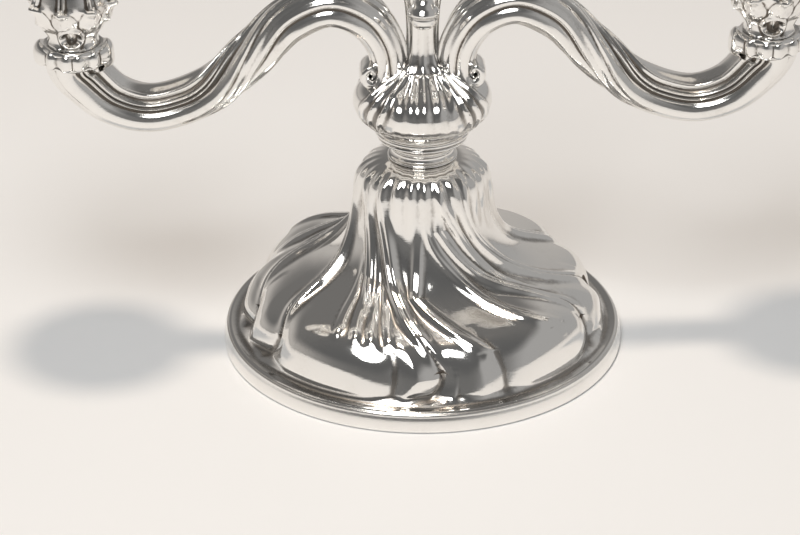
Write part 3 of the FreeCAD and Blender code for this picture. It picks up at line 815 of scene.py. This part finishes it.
NOZZLE_LOBES = 8
NOZZLE_ROWS = 140


def nozzle_place(u, v):
    section = flow([
        (0.0, 0.0), (12.4, 0.0), (12.93, 0.5), (12.93, 10.0), (12.93, 20.9), (13.4, 21.05), (16.8, 21.1),
        (19.2, 21.9), (20.3, 22.9), (20.4, 23.3), (19.9, 23.38), (19.2, 23.0), (16.6, 22.3), (12.2, 22.05),
        (11.4, 21.8), (11.22, 21.0), (11.22, 10.0), (11.22, 1.3), (10.8, 1.02), (0.0, 1.0)], NOZZLE_ROWS + 1)
    row = np.rint(v * NOZZLE_ROWS).astype(int)
    radius, height = section[row].T
    turn = 2 * pi * u
    edge = np.clip((radius - 14) / 6, 0, 1) ** 2
    reach = radius * (1 - 0.022 * (1 - np.abs(np.cos(NOZZLE_LOBES / 2 * turn))) * edge)
    return reach * np.cos(turn), reach * np.sin(turn), height


nozzle = skin("nozzle", 192, NOZZLE_ROWS, nozzle_place)
mark_recesses(nozzle, 5, 0.2)
nozzle_silver = silver("handled_silver", 0.15, 0.6, 0.7)
three_of(nozzle, nozzle_silver, "_candle_nozzle", "_nozzle", lambda side: side + "_nozzle")


# ---- The rods and nuts --------------------------------------------------------------------------
# A steel rod up the column and a stud in the tip of each arm, with a nut inside each cup, draw the
# castings together.

carried_over(steel, "tie_rod", "left_stud", "right_stud", "left_nut", "centre_nut", "right_nut")


# ---- The table, the light and the camera --------------------------------------------------------
# A pale table with one small lamp right above, a large soft one over the viewer's head, and pale walls
# with a darker ceiling and a dark wall behind the viewer, which the silver reflects.

bpy.ops.object.select_all(action="DESELECT")
bpy.ops.mesh.primitive_plane_add(size=8.0, location=(0, 1.0, 0))
table = bpy.context.object
table.name = "table"
assign(table, finish("pale_table", 0.0, colour(0.88, 0.885, 0.89), 0.6)[0])


def lamp(name, location, size, strength, tint):
    """A round lamp turned to the foot, as strong to look at whatever its size."""
    light = bpy.data.lights.new(name, "AREA")
    light.shape = "DISK"
    light.size = size
    light.energy = strength * pi * pi * size * size / 4
    light.color = tint
    holder = bpy.data.objects.new(name, light)
    bpy.context.scene.collection.objects.link(holder)
    holder.location = location
    holder.rotation_euler = Vector(location).to_track_quat("Z", "Y").to_euler()


lamp("lamp_above", (-0.20, 0.08, 2.5), 0.30, 108.0, (1.0, 0.86, 0.72))
lamp("lamp_front", (-0.36, -1.08, 1.95), 1.15, 7.9, (1.0, 1.0, 0.99))

world = bpy.data.worlds.new("studio")
bpy.context.scene.world = world
world.use_nodes = True
tree = world.node_tree
direction = Wire(tree, tree.nodes.new("ShaderNodeTexCoord").outputs["Generated"])
split = direction.node("ShaderNodeSeparateXYZ", Vector=direction)
across, ahead, up = split.out(0), split.out(1), split.out(2)
wall = ahead.between(-0.90, 0.40).mix(colour(0.16, 0.158, 0.155), colour(0.48, 0.455, 0.43))
wall = across.between(0.10, 0.70).mix(wall, colour(0.38, 0.375, 0.37))
ceiling = ahead.between(-0.6, 0.6).mix(colour(0.115, 0.115, 0.115), colour(0.17, 0.165, 0.16))
room = (up - across.math("MAXIMUM", across, 0.0) * 0.8).between(0.10, 0.50).mix(wall, ceiling)
tree.links.new(room.socket, tree.nodes["Background"].inputs["Color"])

CAMERA_DISTANCE = 1.258
CAMERA_RISE = radians(29.0)
CAMERA_TURN = radians(2.5)
LENS, SENSOR = 149.04, 36.0             # focal length and width of the sensor, in millimetres
AIM_ABOVE = radians(1.133)              # how far above the foot's middle the camera looks
AIM_LEFT = radians(0.3874)              # and how far to the left of it
flat = Vector((-sin(CAMERA_TURN), -cos(CAMERA_TURN), 0))
eye = CAMERA_DISTANCE * (flat * cos(CAMERA_RISE) + Vector((0, 0, sin(CAMERA_RISE))))
ahead_of = -eye.normalized()
right_of = ahead_of.cross(Vector((0, 0, 1))).normalized()
above = right_of.cross(ahead_of)
lifted = ahead_of * cos(AIM_ABOVE) + above * sin(AIM_ABOVE)
above = above * cos(AIM_ABOVE) - ahead_of * sin(AIM_ABOVE)
ahead_of = lifted * cos(AIM_LEFT) - right_of * sin(AIM_LEFT)
right_of = right_of * cos(AIM_LEFT) + lifted * sin(AIM_LEFT)
camera = bpy.data.cameras.new("camera")
camera.sensor_width = SENSOR
camera.lens = LENS
camera.clip_start = 0.05
holder = bpy.data.objects.new("camera", camera)
bpy.context.scene.collection.objects.link(holder)
holder.matrix_world = Matrix((
    (right_of.x, above.x, -ahead_of.x, eye.x), (right_of.y, above.y, -ahead_of.y, eye.y),
    (right_of.z, above.z, -ahead_of.z, eye.z), (0, 0, 0, 1)))
bpy.context.scene.camera = holder
bpy.context.scene.view_settings.view_transform = "Standard"
